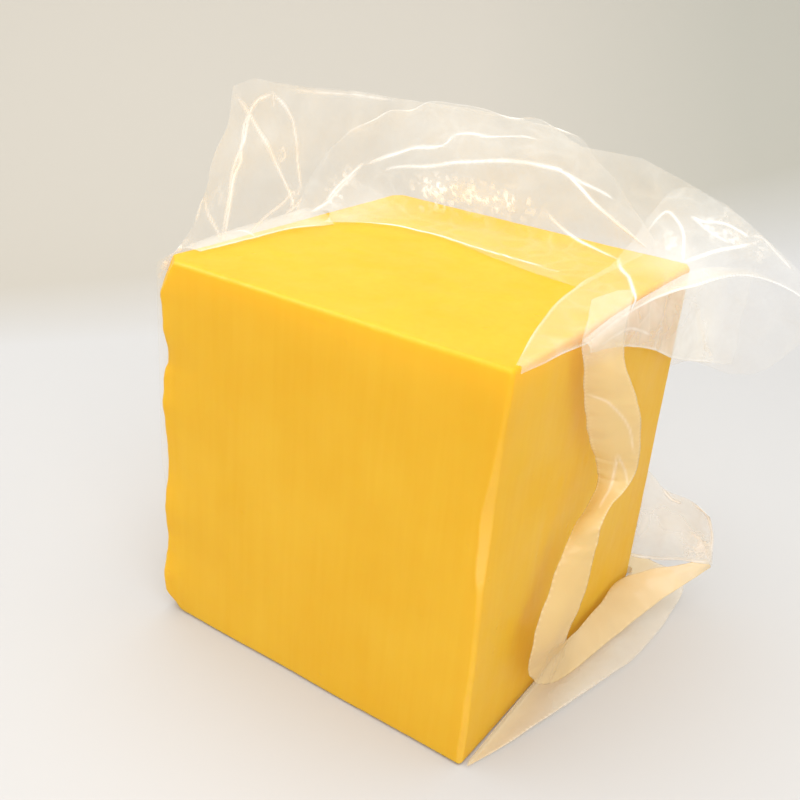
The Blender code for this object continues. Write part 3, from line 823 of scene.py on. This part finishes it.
def cheddar_material(settings):
    made, tree, shader = new_material("cheese_surface")
    mottle = between(tree, object_noise(tree, 38, 4), 0.35, 0.7)
    streak = between(tree, object_noise(tree, 420, 3, (1, 1, 0.06)), 0.3, 0.7)
    patch = weighted_sum(tree, (mottle, 0.6), (streak, 0.4))
    body = mix_colour(tree, patch, tuple(settings.colour), tuple(settings.deep_colour))
    glow = math_node(tree, "MULTIPLY", mask_of(tree, "glow"), 0.65)
    body = mix_colour(tree, glow, body, tuple(settings.glow_colour))
    # Painted highlight along the edges and on the worn flat
    ridge = math_node(tree, "MULTIPLY", mask_of(tree, "ridge"), 0.55)
    body = mix_colour(tree, ridge, body, tuple(settings.edge_highlight_colour))
    join(tree, body, shader.inputs["Base Color"])
    sheen = between(tree, object_noise(tree, 70, 3), 0.3, 0.7, 0.36, 0.5)
    join(tree, sheen, shader.inputs["Roughness"])
    shader.inputs["Specular IOR Level"].default_value = 0.12
    shader.inputs["Subsurface Weight"].default_value = 0.35
    shader.inputs["Subsurface Radius"].default_value = (1.0, 0.55, 0.12)
    shader.inputs["Subsurface Scale"].default_value = 0.006
    pits = tree.nodes.new("ShaderNodeTexVoronoi")
    pits.inputs["Scale"].default_value = 210
    place = tree.nodes.new("ShaderNodeTexCoord")
    join(tree, place.outputs["Object"], pits.inputs["Vector"])
    hole = between(tree, pits.outputs["Distance"], 0.05, 0.2)
    some = between(tree, object_noise(tree, 60, 1), 0.6, 0.68)
    pit = math_node(tree, "MULTIPLY", math_node(tree, "SUBTRACT", 1.0, hole), some)
    smooth = math_node(tree, "SUBTRACT", 1.0, pit)
    height = weighted_sum(tree, (smooth, 1.0), (streak, 0.12), (object_noise(tree, 900, 3), 0.18))
    bump = tree.nodes.new("ShaderNodeBump")
    bump.inputs["Strength"].default_value = 0.35
    bump.inputs["Distance"].default_value = 0.0003
    join(tree, height, bump.inputs["Height"])
    join(tree, bump.outputs["Normal"], shader.inputs["Normal"])
    return made


def veil_group():
    """Cloudiness of film: its haze in soft patches, denser where it is doubled and tinted with painted bounce light,
    and along the painted highlights of its creases.
    """
    name = "Film Veil"
    if name in bpy.data.node_groups:
        return bpy.data.node_groups[name]
    group = bpy.data.node_groups.new(name, "ShaderNodeTree")
    for label, value in (("Warm Strength", 0.4), ("Crease Strength", 0.95)):
        socket = group.interface.new_socket(label, in_out="INPUT", socket_type="NodeSocketFloat")
        socket.default_value = value
    group.interface.new_socket("Cloud", in_out="OUTPUT", socket_type="NodeSocketFloat")
    group.interface.new_socket("Height", in_out="OUTPUT", socket_type="NodeSocketFloat")
    entry = group.nodes.new("NodeGroupInput")
    leave = group.nodes.new("NodeGroupOutput")
    patches = between(group, object_noise(group, 55, 2), 0.3, 0.7, 0.6, 1.6)
    cloud = math_node(group, "MULTIPLY", mask_of(group, "haze"), patches)
    for mask, strength in (("doubled_and_bounce", "Warm Strength"), ("crease_highlight", "Crease Strength")):
        more = math_node(group, "MULTIPLY", mask_of(group, mask), entry.outputs[strength])
        cloud = math_node(group, "ADD", cloud, more)
    group.links.new(cloud, leave.inputs["Cloud"])
    group.links.new(object_noise(group, 260, 3), leave.inputs["Height"])
    return group


def film_material(film):
    """Clear film: see-through where it isn't cloudy or seen edge-on, and lighter still for shadows."""
    made, tree, shader = new_material("film_surface")
    cloud = tree.nodes.new("ShaderNodeGroup")
    cloud.node_tree = veil_group()
    facing = tree.nodes.new("ShaderNodeLayerWeight")
    facing.inputs["Blend"].default_value = 0.2
    edge = math_node(tree, "MULTIPLY", facing.outputs["Facing"], EDGE_HAZE)
    alpha = math_node(tree, "ADD", cloud.outputs["Cloud"], edge)
    light = tree.nodes.new("ShaderNodeLightPath")
    passed = math_node(tree, "MULTIPLY", light.outputs["Is Shadow Ray"], -SHADOW_LEFT_OUT)
    kept = math_node(tree, "ADD", passed, 1.0)
    alpha = math_node(tree, "MULTIPLY", math_node(tree, "MINIMUM", alpha, DENSEST_FILM), kept)
    join(tree, alpha, shader.inputs["Alpha"])
    # Painted bounce light: doubled film beside the cheese tinted orange as if lit by light bounced off it
    colour = mix_colour(tree, mask_of(tree, "doubled_and_bounce"), tuple(film.colour), tuple(film.warm_bounce_colour))
    # Painted highlight: folds, facet borders and crumple glints whitened as if they caught the light
    colour = mix_colour(tree, mask_of(tree, "crease_highlight"), colour, tuple(film.crease_highlight_colour))
    join(tree, colour, shader.inputs["Base Color"])
    shader.inputs["Roughness"].default_value = 0.2
    shader.inputs["IOR"].default_value = 1.5
    bump = tree.nodes.new("ShaderNodeBump")
    bump.inputs["Strength"].default_value = 0.25
    bump.inputs["Distance"].default_value = 0.0002
    join(tree, cloud.outputs["Height"], bump.inputs["Height"])
    join(tree, bump.outputs["Normal"], shader.inputs["Normal"])
    return made


# Stage

def area_light(name, place, width, power):
    light = bpy.data.lights.new(name, "AREA")
    light.shape = "DISK"
    light.size = width
    light.energy = power
    lamp = bpy.data.objects.new(name, light)
    bpy.context.collection.objects.link(lamp)
    lamp.location = place
    lamp.rotation_euler = (Vector(LIGHTS_AIM) - Vector(place)).to_track_quat("-Z", "Y").to_euler()


def make_stage(settings):
    """Floor that curves up into a backdrop behind the block, the lights and the camera."""
    stage = settings.stage
    deselect_all()
    bpy.ops.mesh.primitive_grid_add(x_subdivisions=2, y_subdivisions=120, size=2)
    floor = bpy.context.object
    floor.name = floor.data.name = "stage_sweep"
    flat = coordinates(floor.data)
    run = SWEEP_START + (flat[:, 1] + 1) / 2 * SWEEP_RUN
    angle = np.clip((run - SWEEP_TURN) / SWEEP_RADIUS, 0, np.pi / 2)
    past = np.maximum(run - SWEEP_TURN - SWEEP_RADIUS * np.pi / 2, 0)
    ahead = np.minimum(run, SWEEP_TURN) + SWEEP_RADIUS * np.sin(angle)
    up = SWEEP_RADIUS * (1 - np.cos(angle)) + past
    away, side = np.array(SWEEP_AWAY), np.array(SWEEP_SIDE)
    plan = ahead[:, None] * away + flat[:, :1] * SWEEP_HALF_WIDTH * side
    floor.data.vertices.foreach_set("co", np.column_stack([plan, up]).ravel())
    bpy.ops.object.shade_smooth()
    made, tree, shader = new_material("stage_paper")
    place = tree.nodes.new("ShaderNodeTexCoord")
    reach = []
    for way in (away - 0.28 * side, side):
        along = tree.nodes.new("ShaderNodeVectorMath")
        along.operation = "DOT_PRODUCT"
        along.inputs[1].default_value = (*way, 0)
        join(tree, place.outputs["Object"], along.inputs[0])
        reach.append(along.outputs["Value"])
    shaded, risen = between(tree, reach[1], 0.1, 0.32), between(tree, reach[0], 0.28, 0.37)
    paper = mix_colour(tree, shaded, tuple(stage.wall_colour), tuple(stage.shade_colour))
    paper = mix_colour(tree, risen, tuple(stage.floor_colour), paper)
    join(tree, paper, shader.inputs["Base Color"])
    shader.inputs["Roughness"].default_value = 0.8
    floor.data.materials.append(made)

    world = bpy.data.worlds.new("studio")
    bpy.context.scene.world = world
    world.use_nodes = True
    sky = world.node_tree.nodes["Background"]
    sky.inputs["Color"].default_value = (1, 1, 1, 1)
    sky.inputs["Strength"].default_value = stage.sky
    area_light("softbox", (-0.15, -0.05, 1.1), 1.3, stage.key)
    area_light("front_fill", (0.75, -0.85, 0.8), 1.2, stage.fill)

    camera = bpy.data.objects.new("camera", bpy.data.cameras.new("camera"))
    bpy.context.collection.objects.link(camera)
    camera.data.lens = CAMERA_LENS
    camera.data.clip_start = 0.01
    turn = Matrix((CAMERA_RIGHT, CAMERA_UP, CAMERA_BACK)).transposed().to_4x4()
    camera.matrix_world = Matrix.Translation(CAMERA_PLACE) @ turn
    bpy.context.scene.camera = camera
    bpy.context.scene.view_settings.view_transform = "Standard"
    bpy.context.scene.cycles.transparent_max_bounces = 48


# Operators

class Settings:
    """The three groups of settings of a scene."""

    def __init__(self, scene):
        self.cheese = scene.cheddar_settings
        self.film = scene.cheddar_film_settings
        self.stage = scene.cheddar_stage_settings


class CHEDDAR_OT_block(bpy.types.Operator):
    """Builds the block of cheese with its worn edges and dents"""
    bl_idname = "cheddar.block"
    bl_label = "Cheese Block"

    def execute(self, context):
        cheese = make_cheese(Settings(context.scene).cheese)
        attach(cheese, "root")
        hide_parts("cheese_block")
        return {"FINISHED"}


class CHEDDAR_OT_wrap(bpy.types.Operator):
    """Builds the bag's panel along the left and back faces, with its peak and its tail"""
    bl_idname = "cheddar.wrap"
    bl_label = "Bag Panel"

    def execute(self, context):
        settings = Settings(context.scene)
        points, shares = wrap_points(settings.film.spacing / MM * 1.05)
        folds = to_rows(WRAP_FOLDS, shares)
        crumples = to_rows(WRAP_CRUMPLES, shares)
        x, _, z = np.moveaxis(points, -1, 0)
        back = np.clip((x + 58) / 25, 0, 1)
        peak = np.clip((z - 144) / 14, 0, 1) * (1 - back)
        haze = WRAP_HAZE + PEAK_HAZE * peak + BACK_HAZE * back * np.clip((95 - x) / 45, 0.15, 1)
        finish_sheet("film_wrap", points, -1, settings, 31, folds, crumples, haze=haze)
        return {"FINISHED"}


class CHEDDAR_OT_hood(bpy.types.Operator):
    """Builds the hood that folds forward from the panel onto the top of the cheese"""
    bl_idname = "cheddar.hood"
    bl_label = "Bag Hood"

    def execute(self, context):
        settings = Settings(context.scene)
        points = hood_points(settings.film.spacing / MM * 0.9)
        x, y, z = np.moveaxis(points, -1, 0)
        veil = np.exp(-(np.hypot((x + 50) / 12, (y - 20) / 24) ** 2)) * np.clip((140 - z) / 8, 0, 1)
        haze = HOOD_HAZE + HOOD_VEIL * veil
        finish_sheet("film_hood", points, 1, settings, 41, HOOD_FOLDS, HOOD_CRUMPLES, haze=haze)
        lip = surface_through(LIP_GUIDES, settings.film.spacing / MM)
        haze = LIP_HAZE * np.clip((10 - lip[..., 1]) / 12, 0.1, 1)
        # The lip is tinted with painted bounce light from the cheese as much as it is hazy
        finish_sheet("film_lip", lip, 1, settings, 46, LIP_FOLDS, haze=haze, doubled_and_bounce=haze)
        return {"FINISHED"}


class CHEDDAR_OT_flap(bpy.types.Operator):
    """Builds the flap over the top's right edge and the layer below it"""
    bl_idname = "cheddar.flap"
    bl_label = "Bag Flap"

    def execute(self, context):
        settings = Settings(context.scene)
        spacing = settings.film.spacing / MM * 0.8
        flap = flap_points(spacing)
        rows, columns = flap.shape[:2]
        hem = np.exp(-(((np.linspace(0, 1, rows) - 0.93) / 0.05) ** 2))[:, None]
        seam = np.clip(3 - 8 * np.abs(np.linspace(0, 1, columns) - 0.5), 0, 1)
        x, y, z = np.moveaxis(flap, -1, 0)
        veil = np.exp(-(np.hypot((x - 66) / 12, (y - 42) / 12) ** 2))
        hanging = np.clip((132 - z) / 4, 0, 1) * np.clip((x - 58) / 4, 0, 1)
        haze = FLAP_HAZE * np.clip((72 - y) / 30, 0.4, 1) + FLAP_VEIL * veil + FLAP_HANGING_HAZE * hanging
        haze = haze * np.clip((112 - x) / 30, 0.3, 1)
        doubled_and_bounce = FLAP_HEM_WARMTH * hem * seam
        finish_sheet("film_flap", flap, 1, settings, 51, FLAP_FOLDS, FLAP_CRUMPLES, haze=haze, doubled_and_bounce=doubled_and_bounce)
        apron = apron_points(spacing)
        haze = APRON_HAZE * np.clip((76 - apron[..., 0]) / 6, 0.15, 1)
        finish_sheet("film_apron", apron, -1, settings, 56, APRON_FOLDS, haze=haze, doubled_and_bounce=APRON_WARMTH * haze)
        return {"FINISHED"}


class CHEDDAR_OT_ribbon(bpy.types.Operator):
    """Builds the ribbon of doubled film that hangs in front of the right face"""
    bl_idname = "cheddar.ribbon"
    bl_label = "Film Ribbon"

    def execute(self, context):
        settings = Settings(context.scene)
        points = ribbon_points(settings.film.spacing / MM * 0.8)
        # Painted bounce light from the cheese tints the ribbon below its top
        doubled_and_bounce = np.clip((133 - points[..., 2]) / 12, 0.15, 1)
        finish_sheet("film_ribbon", points, 1, settings, 61, RIBBON_FOLDS, waves=0.12, doubled_and_bounce=doubled_and_bounce)
        return {"FINISHED"}


class CHEDDAR_OT_corner(bpy.types.Operator):
    """Builds the bag's standing lower corner and the skirt on the floor"""
    bl_idname = "cheddar.corner"
    bl_label = "Bag Corner"

    def execute(self, context):
        settings = Settings(context.scene)
        spacing = settings.film.spacing / MM * 0.8
        corner = corner_points(spacing)
        finish_sheet(
            "film_corner", corner, -1, settings, 71, CORNER_FOLDS, CORNER_CRUMPLES,
            waves=0.25, haze=CORNER_HAZE, doubled_and_bounce=0.04,
        )
        skirt = skirt_points(spacing * 1.2)
        # Painted bounce light from the cheese tints the skirt, most near the cheese
        doubled_and_bounce = 0.38 + 0.45 * np.clip((76 - skirt[..., 0]) / 12, 0, 1)
        haze = SKIRT_HAZE * np.clip((88 - skirt[..., 0]) / 12, 0.3, 1)
        finish_sheet(
            "film_skirt", skirt, 1, settings, 76, SKIRT_FOLDS, waves=0.15, low=0.15, haze=haze, doubled_and_bounce=doubled_and_bounce,
        )
        return {"FINISHED"}


class CHEDDAR_OT_stage(bpy.types.Operator):
    """Builds the pale sweep, the soft lights and the camera"""
    bl_idname = "cheddar.stage"
    bl_label = "Stage"

    def execute(self, context):
        make_stage(Settings(context.scene))
        return {"FINISHED"}


class CHEDDAR_PT_panel(bpy.types.Panel):
    """Lists the pieces of the block and its bag"""
    bl_idname = "CHEDDAR_PT_panel"
    bl_label = "Cheddar Block"
    bl_space_type = "VIEW_3D"
    bl_region_type = "UI"
    bl_category = "Cheddar"

    def draw(self, context):
        for operator in OPERATORS:
            self.layout.operator(operator.bl_idname)
        settings = Settings(context.scene)
        for group in (settings.cheese, settings.film, settings.stage):
            box = self.layout.box()
            for name in group.__annotations__:
                box.prop(group, name)


OPERATORS = (
    CHEDDAR_OT_stage, CHEDDAR_OT_block, CHEDDAR_OT_wrap, CHEDDAR_OT_hood, CHEDDAR_OT_flap, CHEDDAR_OT_ribbon,
    CHEDDAR_OT_corner,
)
CLASSES = (CheddarSettings, FilmSettings, StageSettings, *OPERATORS, CHEDDAR_PT_panel)


def register():
    for made in CLASSES:
        bpy.utils.register_class(made)
    bpy.types.Scene.cheddar_settings = PointerProperty(type=CheddarSettings)
    bpy.types.Scene.cheddar_film_settings = PointerProperty(type=FilmSettings)
    bpy.types.Scene.cheddar_stage_settings = PointerProperty(type=StageSettings)


def unregister():
    del bpy.types.Scene.cheddar_settings
    del bpy.types.Scene.cheddar_film_settings
    del bpy.types.Scene.cheddar_stage_settings
    for made in reversed(CLASSES):
        bpy.utils.unregister_class(made)


def main():
    register()
    bpy.ops.cheddar.stage()
    bpy.ops.cheddar.block()
    bpy.ops.cheddar.wrap()
    bpy.ops.cheddar.hood()
    bpy.ops.cheddar.flap()
    bpy.ops.cheddar.ribbon()
    bpy.ops.cheddar.corner()


if __name__ == "__main__":
    main()
